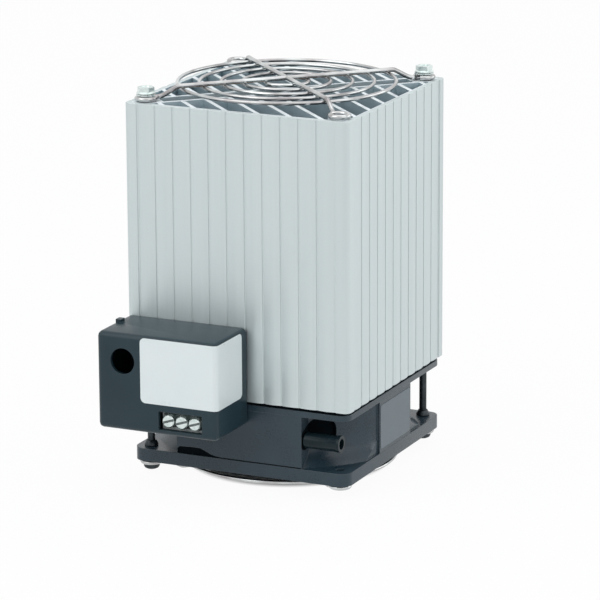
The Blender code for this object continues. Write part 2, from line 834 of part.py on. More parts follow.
def box_cover():
    """A shell open at the back, with the cable hole and the window over the terminals."""
    mat = box_plastic()
    x = (BOX_LEFT, BOX_RIGHT)
    y = (BOX_FRONT, BOX_BACK)
    z = (BOX_LOW, BOX_TOP)
    cover = block("terminal_box_cover", x, y, z, mat)
    bm = bmesh.new()
    bm.from_mesh(cover.data)
    front = [
        e
        for e in bm.edges
        if not all(abs(v.co.y - BOX_BACK * MM) < 1e-6 for v in e.verts)
    ]
    bmesh.ops.bevel(bm, geom=front, offset=BOX_EDGE_R * MM, segments=3, profile=0.5, affect="EDGES")
    bm.to_mesh(cover.data)
    bm.free()
    w = BOX_WALL
    inside = block(
        "inside", (x[0] + w, x[1] - w), (y[0] + w, y[1] + 5), (z[0] + w, z[1] - w), mat
    )
    cut(cover, inside)
    hole = turned(
        "hole", ((0, -6), (CABLE_HOLE_R, -6), (CABLE_HOLE_R, 6), (0, 6)), 28, mat
    )
    upright = Matrix.Rotation(pi / 2, 4, "X")
    centre = Vector((CABLE_HOLE_X, BOX_FRONT, CABLE_HOLE_Z)) * MM
    hole.data.transform(Matrix.Translation(centre) @ upright)
    cut(cover, hole)
    half = PORT_W / 2
    window = block(
        "window",
        (PORT_X - half, PORT_X + half),
        (BOX_FRONT - 3, BOX_FRONT + BOX_WALL + 1),
        (PORT_LOW, PORT_LOW + PORT_H),
        mat,
    )
    cut(cover, window)
    tab_x = (BOX_LEFT + 1.0, BOX_LEFT + 4.0)
    tab = block("tab", tab_x, (BOX_BACK - 15, BOX_BACK - 11), (BOX_TOP - 1, BOX_TOP + TAB), mat)
    join(cover, tab)
    return cover


def box_base():
    """The plate the cover closes on, lying on the ribs, with two posts for the terminal block."""
    mat = box_plastic()
    w = BOX_WALL + SEAT
    x = (BOX_LEFT + w, BOX_RIGHT - w)
    z = (BOX_LOW + w, BOX_TOP - w)
    base = block("terminal_box_base", x, (BOX_BACK - BASE_T, BOX_BACK), z, mat)
    half = POST_W / 2
    for px in (PORT_X - POST_SPREAD / 2, PORT_X + POST_SPREAD / 2):
        post = block(
            "post",
            (px - half, px + half),
            (BLOCK_BACK + SEAT, BOX_BACK - BASE_T / 2),
            (PORT_LOW + 1.0, PORT_LOW + 1.0 + POST_W),
            mat,
        )
        join(base, post)
    return base


def terminals():
    """The pale block behind the window and its three clamping screws."""
    half = PORT_W / 2 - SEAT
    low = BOX_LOW + BOX_WALL + SEAT
    x = (PORT_X - half, PORT_X + half)
    z = (low, low + BLOCK_H)
    block_body = block("terminal_block", x, (BLOCK_FRONT, BLOCK_BACK), z, pale_plastic())
    middle = PORT_LOW + PORT_H / 2 - 0.2
    face = BOX_FRONT + TERMINAL_RECESS
    upright = Matrix.Rotation(pi / 2, 4, "X")
    reach = TERMINAL_PITCH + TERMINAL_R + SEAT
    rise = TERMINAL_R + SEAT
    well = block(
        "well",
        (PORT_X - reach, PORT_X + reach),
        (BLOCK_FRONT - 3, face + TERMINAL_L + SEAT),
        (middle - rise, middle + rise),
        zinc(),
    )
    cut(block_body, well)
    for k in (-1, 0, 1):
        x = PORT_X + k * TERMINAL_PITCH
        profile = (
            (0, 0),
            (TERMINAL_R, 0),
            (TERMINAL_R, TERMINAL_L - 0.5),
            (TERMINAL_R - 0.5, TERMINAL_L),
            (0, TERMINAL_L),
        )
        screw = turned("terminal_screw_%d" % (k + 2), profile, 20, zinc())
        centre = Vector((x, face + TERMINAL_L, middle)) * MM
        screw.data.transform(Matrix.Translation(centre) @ upright)
        slot = block("slot", (-4, 4), (-0.5, 0.5), (-0.6, 0.6), zinc())
        slot.data.transform(
            Matrix.Translation(Vector((x, face, middle)) * MM) @ Matrix.Rotation(radians(-18), 4, "Y")
        )
        cut(screw, slot)


def main():
    for obj in list(bpy.data.objects):
        bpy.data.objects.remove(obj)
    heatsink()
    heating_element("heating_element_left", -1)
    heating_element("heating_element_right", 1)
    fan_housing()
    fan_plug()
    impeller()
    motor()
    guards()
    top_screw("top_screw_left", "top_washer_left", -HOLE, -HOLE)
    top_screw("top_screw_right", "top_washer_right", HOLE, HOLE)
    low_screw("bottom_screw_left", "screw_collar_left", -HOLE, -HOLE)
    low_screw("bottom_screw_right", "screw_collar_right", HOLE, HOLE)
    box_cover()
    box_base()
    terminals()


main()
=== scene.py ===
"""Looks for the enclosure heater: materials, smooth wires, joints, label, light and camera.

Lengths in the piece-making code are millimetres about the fan axis, with z at the underside of
the fan's lower flange. ORIGIN moves them to the model's own frame, in metres.
"""

import json
from math import cos, pi, radians, sin, sqrt

import bmesh
import bpy
from mathutils import Matrix, Vector

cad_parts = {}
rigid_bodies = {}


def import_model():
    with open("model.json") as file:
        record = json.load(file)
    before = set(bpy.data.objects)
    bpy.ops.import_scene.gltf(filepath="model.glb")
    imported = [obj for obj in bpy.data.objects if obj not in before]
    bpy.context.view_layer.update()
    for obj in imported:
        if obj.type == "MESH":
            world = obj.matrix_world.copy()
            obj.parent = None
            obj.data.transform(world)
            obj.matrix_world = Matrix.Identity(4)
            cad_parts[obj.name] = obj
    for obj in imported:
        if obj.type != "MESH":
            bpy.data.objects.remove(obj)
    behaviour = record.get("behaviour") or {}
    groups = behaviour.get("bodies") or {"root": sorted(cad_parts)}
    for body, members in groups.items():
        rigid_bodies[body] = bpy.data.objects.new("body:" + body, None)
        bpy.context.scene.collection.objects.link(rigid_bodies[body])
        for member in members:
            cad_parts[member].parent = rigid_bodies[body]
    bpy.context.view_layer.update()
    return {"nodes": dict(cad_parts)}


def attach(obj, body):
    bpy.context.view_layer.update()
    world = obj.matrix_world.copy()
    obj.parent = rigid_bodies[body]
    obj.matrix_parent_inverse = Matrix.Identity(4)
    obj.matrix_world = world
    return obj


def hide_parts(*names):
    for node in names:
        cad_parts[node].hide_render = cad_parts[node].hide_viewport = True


MM = 0.001
ORIGIN = Vector((0.0, 17.05, 7.4))
DIAG = 1 / sqrt(2)
SMOOTH_ANGLE = 34

# Half width of the square inside the outer wall of the extrusion, where the fins are
FINS_HALF = 57.8

# Grooves between the ribs: their depth in the solid, and the depth that is shown
RIB_FACE = 60.7
GROOVE_DEEP = 1.3
GROOVE_SHOWN = 0.75
END_GROOVE = 50.0
END_GROOVE_SHOWN = 0.35


# Materials


class Look:
    """A surface material with short helpers for its node tree."""

    def __init__(self, name, colour, roughness, metallic=0.0, **sockets):
        self.mat = bpy.data.materials.new(name)
        self.mat.use_nodes = True
        self.tree = self.mat.node_tree
        self.shader = self.tree.nodes["Principled BSDF"]
        self.set("Base Color", (*colour, 1.0))
        self.set("Roughness", roughness)
        self.set("Metallic", metallic)
        for socket, value in sockets.items():
            self.set(socket.replace("_", " "), value)
        self.mat.diffuse_color = (*colour, 1.0)
        self.coords = self.tree.nodes.new("ShaderNodeTexCoord")

    def set(self, socket, value):
        self.shader.inputs[socket].default_value = value

    def node(self, kind, **values):
        made = self.tree.nodes.new("ShaderNode" + kind)
        for key, value in values.items():
            if hasattr(made, key):
                setattr(made, key, value)
            else:
                made.inputs[key.replace("_", " ")].default_value = value
        return made

    def link(self, source, target):
        self.tree.links.new(source, target)

    def stretched(self, scale):
        mapping = self.node("Mapping")
        mapping.inputs["Scale"].default_value = scale
        self.link(self.coords.outputs["Object"], mapping.inputs["Vector"])
        return mapping.outputs["Vector"]

    def noise(self, scale, detail=4.0, rough=0.55, stretch=(1, 1, 1)):
        made = self.node("TexNoise", Scale=scale, Detail=detail, Roughness=rough)
        self.link(self.stretched(stretch), made.inputs["Vector"])
        return made.outputs["Fac"]

    def ramp(self, source, stops):
        made = self.node("ValToRGB")
        band = made.color_ramp
        while len(band.elements) < len(stops):
            band.elements.new(0.5)
        for element, (place, colour) in zip(band.elements, stops):
            element.position = place
            element.color = (*colour, 1.0)
        self.link(source, made.inputs["Fac"])
        return made.outputs["Color"]

    def span(self, source, low, high, start=0.3, end=0.7):
        made = self.node("MapRange")
        for socket, value in (("From Min", start), ("From Max", end), ("To Min", low), ("To Max", high)):
            made.inputs[socket].default_value = value
        self.link(source, made.inputs["Value"])
        return made.outputs["Result"]

    def maths(self, operation, first, second):
        made = self.node("Math", operation=operation)
        for socket, value in zip(made.inputs, (first, second)):
            if isinstance(value, (int, float)):
                socket.default_value = value
            else:
                self.link(value, socket)
        return made.outputs["Value"]

    def mixed(self, factor, first, second):
        made = self.node("Mix", data_type="RGBA")
        for socket, value in ((0, factor), (6, first), (7, second)):
            if isinstance(value, (int, float)):
                made.inputs[socket].default_value = value
            elif isinstance(value, tuple):
                made.inputs[socket].default_value = (*value, 1.0)
            else:
                self.link(value, made.inputs[socket])
        return made.outputs[2]

    def colour(self, source):
        self.link(source, self.shader.inputs["Base Color"])

    def roughness(self, source):
        self.link(source, self.shader.inputs["Roughness"])

    def bump(self, source, depth, strength, edge=0.0):
        """Surface relief of the given depth in metres over edges rounded by edge metres."""
        made = self.node("Bump", Strength=strength, Distance=depth)
        self.link(source, made.inputs["Height"])
        if edge:
            bevel = self.node("Bevel", Radius=edge)
            self.link(bevel.outputs["Normal"], made.inputs["Normal"])
        self.link(made.outputs["Normal"], self.shader.inputs["Normal"])

    def upward(self):
        """1 on faces that look straight up or down in the object's own frame."""
        parts = self.node("SeparateXYZ")
        self.link(self.coords.outputs["Normal"], parts.inputs[0])
        return self.span(self.maths("ABSOLUTE", parts.outputs["Z"], 0.0), 0.0, 1.0, 0.9, 0.98)

    def inside_square(self, half, middle_y):
        """1 within half metres of the upright line through (0, middle_y), measured square."""
        parts = self.node("SeparateXYZ")
        self.link(self.coords.outputs["Object"], parts.inputs[0])
        across = self.maths("ABSOLUTE", parts.outputs["X"], 0.0)
        along = self.maths("ABSOLUTE", self.maths("SUBTRACT", parts.outputs["Y"], middle_y), 0.0)
        return self.span(self.maths("MAXIMUM", across, along), 1.0, 0.0, half, half + 0.0003)

    def edges(self, radius):
        """1 where the surface turns within radius, 0 on open faces."""
        bevel = self.node("Bevel", Radius=radius)
        geometry = self.node("NewGeometry")
        dot = self.node("VectorMath", operation="DOT_PRODUCT")
        self.link(bevel.outputs["Normal"], dot.inputs[0])
        self.link(geometry.outputs["Normal"], dot.inputs[1])
        return self.span(dot.outputs["Value"], 1.0, 0.0, 0.75, 0.98)


def extruded_aluminium():
    look = Look("aluminium_extrusion", (0.59, 0.655, 0.66), 0.48, 0.75)
    streak = look.noise(1.0, 6.0, 0.7, (2600, 2600, 9))
    broad = look.noise(1.0, 3.0, 0.5, (160, 160, 3))
    cloud = look.noise(28.0, 4.0, 0.6)
    tone = look.ramp(streak, [(0.25, (0.57, 0.64, 0.65)), (0.75, (0.64, 0.70, 0.705))])
    tone = look.mixed(look.span(broad, 0.0, 0.5), tone, (0.57, 0.635, 0.645))
    tone = look.mixed(look.span(cloud, 0.0, 0.18, 0.55, 0.75), tone, (0.54, 0.60, 0.61))
    tone = look.mixed(look.maths("MULTIPLY", look.edges(0.0004), 0.4), tone, (0.76, 0.80, 0.80))
    # Painted light inside the square of the fins: the fins and ducts take a bluer tone than the outer
    # wall for the light among them. The fin tops and ends take a light tone, partly the sawn metal and
    # partly a painted highlight, and those faces are also rougher.
    inside = look.inside_square(FINS_HALF * MM, ORIGIN.y * MM)
    sawn_top_and_highlight = look.upward()
    fin_tone_painted_light = look.mixed(sawn_top_and_highlight, (0.56, 0.66, 0.705), (0.80, 0.86, 0.89))
    look.colour(look.mixed(inside, tone, fin_tone_painted_light))
    rough = look.maths("ADD", look.span(streak, 0.40, 0.54), look.span(cloud, -0.03, 0.06))
    look.roughness(look.maths("ADD", rough, look.maths("MULTIPLY", sawn_top_and_highlight, 0.12)))
    look.bump(streak, 0.00003, 0.5, 0.00025)
    return look.mat


def plated_wire():
    look = Look("wire_plating", (0.60, 0.60, 0.61), 0.12, 1.0)
    fine = look.noise(1500.0, 3.0)
    patch = look.noise(55.0, 3.0)
    look.colour(look.ramp(patch, [(0.35, (0.34, 0.325, 0.33)), (0.65, (0.61, 0.64, 0.64))]))
    look.roughness(look.maths("ADD", look.span(patch, 0.07, 0.17), look.span(fine, 0.0, 0.05)))
    look.bump(look.noise(420.0, 2.0), 0.00004, 0.35)
    return look.mat


def zinc_plated_steel():
    look = Look("zinc_plating", (0.66, 0.74, 0.72), 0.3, 1.0)
    patch = look.noise(380.0, 4.0)
    fine = look.noise(2400.0, 2.0)
    tone = look.ramp(patch, [(0.3, (0.50, 0.60, 0.585)), (0.7, (0.78, 0.85, 0.83))])
    tone = look.mixed(look.maths("MULTIPLY", look.edges(0.0003), 0.6), tone, (0.88, 0.91, 0.90))
    look.colour(tone)
    look.roughness(look.maths("ADD", look.span(patch, 0.22, 0.38), look.span(fine, 0.0, 0.06)))
    look.bump(fine, 0.00002, 0.5, 0.0002)
    return look.mat


def blackened_steel():
    look = Look("black_oxide", (0.035, 0.044, 0.05), 0.36, 0.75)
    patch = look.noise(300.0, 4.0)
    tone = look.ramp(patch, [(0.35, (0.022, 0.028, 0.032)), (0.7, (0.055, 0.066, 0.072))])
    tone = look.mixed(look.maths("MULTIPLY", look.edges(0.0003), 0.5), tone, (0.20, 0.21, 0.215))
    look.colour(tone)
    look.roughness(look.span(patch, 0.28, 0.46))
    look.bump(look.noise(1900.0, 2.0), 0.00002, 0.6, 0.0002)
    return look.mat


def cast_black():
    look = Look("coated_casting", (0.0235, 0.046, 0.062), 0.42, 0.0, Specular_IOR_Level=0.42)
    grain = look.noise(1100.0, 3.0, 0.5)
    patch = look.noise(46.0, 4.0)
    tone = look.ramp(patch, [(0.3, (0.018, 0.038, 0.053)), (0.7, (0.0275, 0.051, 0.069))])
    scuff = look.span(look.noise(1.0, 5.0, 0.6, (90, 90, 700)), 0.0, 0.35, 0.62, 0.78)
    tone = look.mixed(scuff, tone, (0.07, 0.09, 0.10))
    tone = look.mixed(look.maths("MULTIPLY", look.edges(0.0005), 0.45), tone, (0.16, 0.18, 0.19))
    look.colour(tone)
    look.roughness(look.maths("ADD", look.span(patch, 0.24, 0.34), look.span(grain, -0.03, 0.05)))
    look.bump(grain, 0.00004, 0.2, 0.0005)
    return look.mat


def box_plastic():
    look = Look("slate_plastic", (0.015, 0.036, 0.047), 0.4, 0.0, Specular_IOR_Level=0.3)
    grain = look.noise(2100.0, 2.0, 0.5)
    patch = look.noise(34.0, 3.0)
    tone = look.ramp(patch, [(0.3, (0.013, 0.033, 0.044)), (0.7, (0.018, 0.040, 0.052))])
    tone = look.mixed(look.maths("MULTIPLY", look.edges(0.0006), 0.3), tone, (0.085, 0.105, 0.115))
    look.colour(tone)
    look.roughness(look.maths("ADD", look.span(patch, 0.30, 0.38), look.span(grain, -0.03, 0.05)))
    look.bump(grain, 0.00003, 0.5, 0.0004)
    return look.mat


def rotor_plastic():
    look = Look("black_moulding", (0.006, 0.015, 0.019), 0.24, 0.0, Specular_IOR_Level=0.16)
    grain = look.noise(1600.0, 2.0)
    patch = look.noise(60.0, 3.0)
    look.colour(look.ramp(patch, [(0.3, (0.005, 0.013, 0.017)), (0.7, (0.010, 0.022, 0.028))]))
    look.roughness(look.span(patch, 0.18, 0.30))
    look.bump(grain, 0.00004, 0.5, 0.0003)
    return look.mat


def pale_plastic():
    look = Look("pale_moulding", (0.52, 0.56, 0.56), 0.48)
    patch = look.noise(120.0, 3.0)
    look.colour(look.ramp(patch, [(0.3, (0.46, 0.50, 0.50)), (0.7, (0.58, 0.61, 0.61))]))
    look.roughness(look.span(patch, 0.4, 0.55))
    look.bump(look.noise(1800.0, 2.0), 0.00003, 0.5, 0.0003)
    return look.mat


def winding():
    look = Look("stator_coils", (0.35, 0.13, 0.05), 0.4, 0.4)
    turns = look.noise(1.0, 3.0, 0.5, (60, 60, 2600))
    look.colour(look.ramp(turns, [(0.35, (0.16, 0.055, 0.02)), (0.7, (0.50, 0.22, 0.09))]))
    look.roughness(look.span(turns, 0.3, 0.5))
    look.bump(turns, 0.0001, 0.6)
    return look.mat


def bearing_steel():
    look = Look("ground_steel", (0.6, 0.6, 0.61), 0.24, 1.0)
    turned = look.noise(1.0, 3.0, 0.5, (80, 80, 3200))
    look.colour(look.ramp(turned, [(0.3, (0.5, 0.5, 0.51)), (0.7, (0.68, 0.68, 0.69))]))
    look.roughness(look.span(turned, 0.18, 0.32))
    look.bump(turned, 0.00002, 0.5)
    return look.mat


def element_film():
    look = Look("amber_film", (0.42, 0.20, 0.06), 0.3, 0.0, Coat_Weight=0.5)
    crinkle = look.noise(240.0, 5.0)
    look.colour(look.ramp(crinkle, [(0.3, (0.30, 0.13, 0.035)), (0.7, (0.52, 0.27, 0.09))]))
    look.roughness(look.span(crinkle, 0.22, 0.4))
    look.bump(crinkle, 0.0002, 0.5)
    return look.mat


def label_film():
    look = Look("label_film", (0.80, 0.86, 0.87), 0.32, 0.0, Coat_Weight=0.25)
    fibre = look.noise(1400.0, 4.0)
    cloud = look.noise(45.0, 3.0)
    tone = look.ramp(cloud, [(0.3, (0.785, 0.85, 0.865)), (0.7, (0.83, 0.885, 0.89))])
    tone = look.mixed(look.span(fibre, 0.0, 0.12), tone, (0.74, 0.80, 0.815))
    look.colour(tone)
    look.roughness(look.span(cloud, 0.26, 0.38))
    look.bump(look.noise(90.0, 3.0), 0.00006, 0.4)
    return look.mat


def fan_plate_film():
    look = Look("fan_plate_film", (0.10, 0.133, 0.157), 0.34, 0.0)
    cloud = look.noise(60.0, 3.0)
    look.colour(look.ramp(cloud, [(0.3, (0.085, 0.117, 0.140)), (0.7, (0.113, 0.150, 0.174))]))
    look.roughness(look.span(cloud, 0.28, 0.4))
    look.bump(look.noise(140.0, 3.0), 0.00004, 0.4)
    return look.mat


def shade(name, dark, light):
    """Painted shade between two close tones, barely glossy: a sheet that stands for the shade deep in
    openings, grooves and slots.
    """
    look = Look(name, dark, 0.8, 0.0, Specular_IOR_Level=0.02)
    mottle = look.noise(900.0, 3.0)
    look.colour(look.ramp(mottle, [(0.3, dark), (0.7, light)]))
    look.roughness(look.span(mottle, 0.7, 0.9))
    look.bump(mottle, 0.00003, 0.3)
    return look.mat


LOOKS = {
    "extruded_aluminium": extruded_aluminium(),
    "plated_wire": plated_wire(),
    "zinc_plated_steel": zinc_plated_steel(),
    "blackened_steel": blackened_steel(),
    "cast_black": cast_black(),
    "box_plastic": box_plastic(),
    "rotor_black": rotor_plastic(),
    "pale_plastic": pale_plastic(),
    "winding": winding(),
    "bearing_steel": bearing_steel(),
    "element_film": element_film(),
}
# Painted shade for the depths of the openings and joints
SHADE = shade("unlit_opening", (0.003, 0.005, 0.007), (0.007, 0.010, 0.012))


# Mesh helpers


def closed_mesh(name, verts, faces):
    """A mesh from points in millimetres about the fan axis, its faces turned outward."""
    mesh = bpy.data.meshes.new(name)
    mesh.from_pydata([(Vector(v) + ORIGIN) * MM for v in verts], [], faces)
    bm = bmesh.new()
    bm.from_mesh(mesh)
    bmesh.ops.recalc_face_normals(bm, faces=bm.faces)
    bm.to_mesh(mesh)
    bm.free()
    return mesh


def add(name, verts, faces, slot, body="casing", angle=SMOOTH_ANGLE, mat=None):
    """An object from points in millimetres about the fan axis, riding on a body."""
    mesh = closed_mesh(name, verts, faces)
    mesh.shade_smooth()
    mesh.set_sharp_from_angle(angle=radians(angle))
    obj = bpy.data.objects.new(name, mesh)
    bpy.context.scene.collection.objects.link(obj)
    mesh.materials.append(mat or LOOKS[slot])
    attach(obj, body)
    return obj


def dress(node, slot, body="casing", bevel=0.0, shape=None):
    """The node's own solid, with smooth shading over its facets and softened edges.

    shape, when given, moves the points of the copy, which are in the model's own frame.
    """
    source = frame["nodes"][node]
    mesh = source.data.copy()
    mesh.name = node + "_skin"
    bm = bmesh.new()
    bm.from_mesh(mesh)
    bmesh.ops.remove_doubles(bm, verts=bm.verts, dist=2e-7)
    bmesh.ops.dissolve_limit(bm, angle_limit=radians(0.4), verts=bm.verts, edges=bm.edges)
    bmesh.ops.recalc_face_normals(bm, faces=bm.faces)
    if shape:
        for vert in bm.verts:
            shape(vert)
    bm.to_mesh(mesh)
    bm.free()
    if mesh.has_custom_normals:
        mesh.attributes.remove(mesh.attributes["custom_normal"])
    mesh.shade_smooth()
    mesh.set_sharp_from_angle(angle=radians(SMOOTH_ANGLE))
    mesh.materials.clear()
    mesh.materials.append(LOOKS[slot])
    obj = bpy.data.objects.new(node + "_skin", mesh)
    bpy.context.scene.collection.objects.link(obj)
    if bevel:
        mod = obj.modifiers.new("Bevel", "BEVEL")
        mod.width = bevel * MM
        mod.segments = 2
        mod.limit_method = "ANGLE"
        mod.angle_limit = radians(SMOOTH_ANGLE)
    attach(obj, body)
    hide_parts(node)
    return obj


def carve(obj, verts, faces):
    """Cuts a closed form, in millimetres about the fan axis, out of a dressed copy."""
    tool = bpy.data.objects.new("form", closed_mesh("form", verts, faces))
    bpy.context.scene.collection.objects.link(tool)
    mod = obj.modifiers.new("Carve", "BOOLEAN")
    mod.operation = "DIFFERENCE"
    mod.solver = "EXACT"
    mod.object = tool
    graph = bpy.context.evaluated_depsgraph_get()
    carved = bpy.data.meshes.new_from_object(obj.evaluated_get(graph))
    obj.modifiers.clear()
    bpy.data.objects.remove(tool)
    carved.materials.clear()
    carved.materials.append(obj.data.materials[0])
    for face in carved.polygons:
        face.material_index = 0
    carved.set_sharp_from_angle(angle=radians(SMOOTH_ANGLE))
    obj.data = carved


def fill_groove(vert):
    """Lifts the floor of a groove, so that the ribs part in a soft line and not a black one."""
    near = 0.05
    x, y, z = vert.co / MM - ORIGIN
    far = max(abs(x), abs(y))
    if abs(far - (RIB_FACE - GROOVE_DEEP)) > near:
        return
    shown = END_GROOVE_SHOWN if min(abs(x), abs(y)) > END_GROOVE else GROOVE_SHOWN
    if abs(x) > abs(y):
        x *= (RIB_FACE - shown) / far
    else:
        y *= (RIB_FACE - shown) / far
    vert.co = (Vector((x, y, z)) + ORIGIN) * MM


def smooth_path(points, per):
    """A smooth curve through the points, with per steps between each two."""
    pts = [Vector(p) for p in points]
    path = []
    for i in range(len(pts) - 1):
        a = pts[i - 1] if i else pts[i] * 2 - pts[i + 1]
        b, c = pts[i], pts[i + 1]
        d = pts[i + 2] if i + 2 < len(pts) else c * 2 - b
        for k in range(per):
            t = k / per
            path.append(
                0.5 * (2 * b + (c - a) * t + (2 * a - 5 * b + 4 * c - d) * t * t
                       + (3 * b - a - 3 * c + d) * t ** 3)
            )
    path.append(pts[-1])
    return path


def tube(path, radius, sides, closed=False):
    """Points and faces of a round wire along the path."""
    n = len(path)
    up = Vector((0, 0, 1))
    verts = []
    for k, point in enumerate(path):
        ahead = path[(k + 1) % n] if closed or k < n - 1 else point
        behind = path[k - 1] if closed or k else point
        along = (ahead - behind).normalized()
        normal = (up - along * up.dot(along)).normalized()
        side = along.cross(normal)
        for i in range(sides):
            a = 2 * pi * i / sides
            verts.append(point + (side * cos(a) + normal * sin(a)) * radius)
    faces = []
    for k in range(n if closed else n - 1):
        for i in range(sides):
            j = (i + 1) % sides
            a, b = k * sides, ((k + 1) % n) * sides
            faces.append((a + i, a + j, b + j, b + i))
    if not closed:
        faces += [tuple(range(sides))[::-1], tuple(range((n - 1) * sides, n * sides))]
    return verts, faces


def merged(parts):
    """Several forms as one list of points and one of faces."""
    verts, faces = [], []
    for points, polygons in parts:
        first = len(verts)
        verts += points
        faces += [tuple(first + i for i in polygon) for polygon in polygons]
    return verts, faces


# Wire guards

# Rings: their step outward, number, wire radius, sides and how far they sink into the legs
RING_STEP, RINGS, RING_R, RING_SIDES, RING_SINK = 11.0, 5, 0.95, 12, 0.35

# Legs: wire radius, sides, height of the middle, steps between two points of a curve
LEG_R, LEG_SIDES, LEG_Z, LEG_STEPS = 1.2, 14, 5.9, 5

# Along a leg from the fan axis: the corner hole, the bend down, and the foot before the eye
HOLE_S = 104.8 / 2 * sqrt(2)
BEND_S, EYE_R, EYE_FOOT = 57.0, 4.65, 1.35

# Underside of each guard about the fan's own underside
GUARD_TOP_Z, GUARD_BOTTOM_Z = 184.6, -0.3


def leg_end(direction, sign):
    """One end of a leg: down from the outer ring and once round the corner hole."""
    ux, uy = direction[0] * sign, direction[1] * sign
    vx, vy = -uy, ux
    foot = HOLE_S - EYE_R - EYE_FOOT
    steps = [(BEND_S - 3, 0.0, LEG_Z), (BEND_S, 0.0, LEG_Z), (BEND_S + 2.0, 0.0, LEG_Z - 0.7)]
    steps += [(foot - 2.8, -0.4, LEG_R + 0.6), (foot, -0.9, LEG_R)]
    for a in range(145, -136, -35):
        steps.append((HOLE_S + EYE_R * cos(radians(a)), EYE_R * sin(radians(a)), LEG_R))
    return [(s * ux + t * vx, s * uy + t * vy, z) for s, t, z in steps]


def guard(name, node, low, flip):
    """Round wires in place of a guard: two crossed legs carry rings that waver by 0.1 mm or so."""
    parts = []
    for direction in ((DIAG, DIAG), (DIAG, -DIAG)):
        far = smooth_path(leg_end(direction, -1), LEG_STEPS)
        near = smooth_path(leg_end(direction, 1), LEG_STEPS)
        parts.append(tube(far[::-1] + near, LEG_R, LEG_SIDES))
    ring_z = LEG_Z - LEG_R - RING_R + RING_SINK
    for k in range(RINGS):
        r = RING_STEP * (k + 1)
        count = 48 + 20 * k
        path = []
        for i in range(count):
            a = 2 * pi * i / count
            wobble = 0.12 * sin(2 * a + k) + 0.07 * sin(5 * a + 2 * k)
            rise = 0.10 * sin(4 * a + k * 1.7)
            path.append(Vector(((r + wobble) * cos(a), (r + wobble) * sin(a), ring_z + rise)))
        parts.append(tube(path, RING_R, RING_SIDES, closed=True))
    verts, faces = merged(parts)
    turn = Matrix.Rotation(pi, 4, Vector((DIAG, DIAG, 0))) if flip else Matrix.Identity(4)
    place = Matrix.Translation((0, 0, low)) @ turn
    obj = add(name, [place @ Vector(v) for v in verts], faces, "plated_wire", angle=50)
    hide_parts(node)
    return obj


# Label round the terminal box, bare


def label():
    """A film on the front of the box that wraps round its right edge, corners rounded."""
    # Faces of the box, the radius of its edge, and the film's rise over it
    front, right, edge_r, lift, sunk = -94.8, 5.6, 2.6, 0.12, 0.02
    # The film: its left end, the end of its wrap, its low and high sides, the radius of its corners
    x0, y1, z0, z1, corner = -36.2, -66.6, 42.2, 75.3, 2.6
    flat = right - edge_r - x0
    arc = pi / 2 * (edge_r + lift)
    back = y1 - (front + edge_r)
    total = flat + arc + back

    def point(s, z, out):
        if s <= flat:
            return (x0 + s, front - out, z)
        if s <= flat + arc:
            a = (s - flat) / (edge_r + lift)
            r = edge_r + out
            return (right - edge_r + r * sin(a), front + edge_r - r * cos(a), z)
        return (right + out, front + edge_r + s - flat - arc, z)

    # Stations along the film lie close together at its rounded corners and round the box's edge
    rounding = (0, 0.1, 0.35, 0.75, 1.3, 1.95, corner)
    stations = list(rounding)
    stations += [4 + i * 4.0 for i in range(9)]
    stations += [flat + arc * i / 8 for i in range(9)]
    stations += [flat + arc + 3 + i * 4.0 for i in range(5)]
    stations += [total - t for t in rounding]
    stations = sorted(set(round(s, 4) for s in stations if 0 <= s <= total))
    rows = 6
    verts = []
    for out in (lift, sunk):
        for s in stations:
            d = min(s, total - s)
            inset = corner - sqrt(max(0.0, corner ** 2 - (corner - d) ** 2)) if d < corner else 0.0
            for k in range(rows + 1):
                z = z0 + inset + (z1 - z0 - 2 * inset) * k / rows
                verts.append(point(s, z, out))
    w = rows + 1
    n = len(stations) * w
    faces = []
    for i in range(len(stations) - 1):
        for k in range(rows):
            a = i * w + k
            faces.append((a, a + w, a + w + 1, a + 1))
            faces.append((n + a, n + a + 1, n + a + w + 1, n + a + w))
    rim = [i * w for i in range(len(stations))]
    rim += [(len(stations) - 1) * w + k for k in range(1, w)]
    rim += [i * w + rows for i in range(len(stations) - 2, -1, -1)]
    rim += [k for k in range(rows - 1, 0, -1)]
    for p, q in zip(rim, rim[1:] + rim[:1]):
        faces.append((p, q, n + q, n + p))
    return add("box_label", verts, faces, "box_plastic", mat=label_film())


# Fan plate, openings and joints

# Arched opening: where its slant starts, the slant's steepness, and its two radii about the axis
POCKET_MOUTH_Y, POCKET_SLANT = -63.3, 5
POCKET_MOUTH_R, POCKET_FLOOR_R = 61.25, 59.0


def slab(outline, near, far):
    """Points and faces of an outline in y and z, drawn through from x near to x far."""
    n = len(outline)
    verts = [(near, y, z) for y, z in outline] + [(far, y, z) for y, z in outline]
    faces = [tuple(range(n)), tuple(range(n, 2 * n))]
    faces += [(i, (i + 1) % n, n + (i + 1) % n, n + i) for i in range(n)]
    return verts, faces


def prism(outline, front, back):
    """Points and faces of an outline in x and z, drawn through from y front to y back."""
    n = len(outline)
    verts = [(x, front, z) for x, z in outline] + [(x, back, z) for x, z in outline]
    faces = [tuple(range(n)), tuple(range(n, 2 * n))[::-1]]
    faces += [(i, n + i, n + (i + 1) % n, (i + 1) % n) for i in range(n)]
    return verts, faces


def fan_plate():
    """A bare film on the flat plate at the right of the fan, its corners cut round."""
    face, lift, sunk, corner = 59.4, 0.14, 0.02, 1.6
    y0, y1, z0, z1 = -18.6 + corner, 18.6 - corner, 8.6 + corner, 31.4 - corner
    outline = []
    for y, z, start in ((y1, z1, 0), (y0, z1, 90), (y0, z0, 180), (y1, z0, 270)):
        for i in range(6):
            a = radians(start + 18 * i)
            outline.append((y + corner * cos(a), z + corner * sin(a)))
    verts, faces = slab(outline, face + sunk, face + lift)
    return add("fan_plate_film", verts, faces, "cast_black", mat=fan_plate_film())


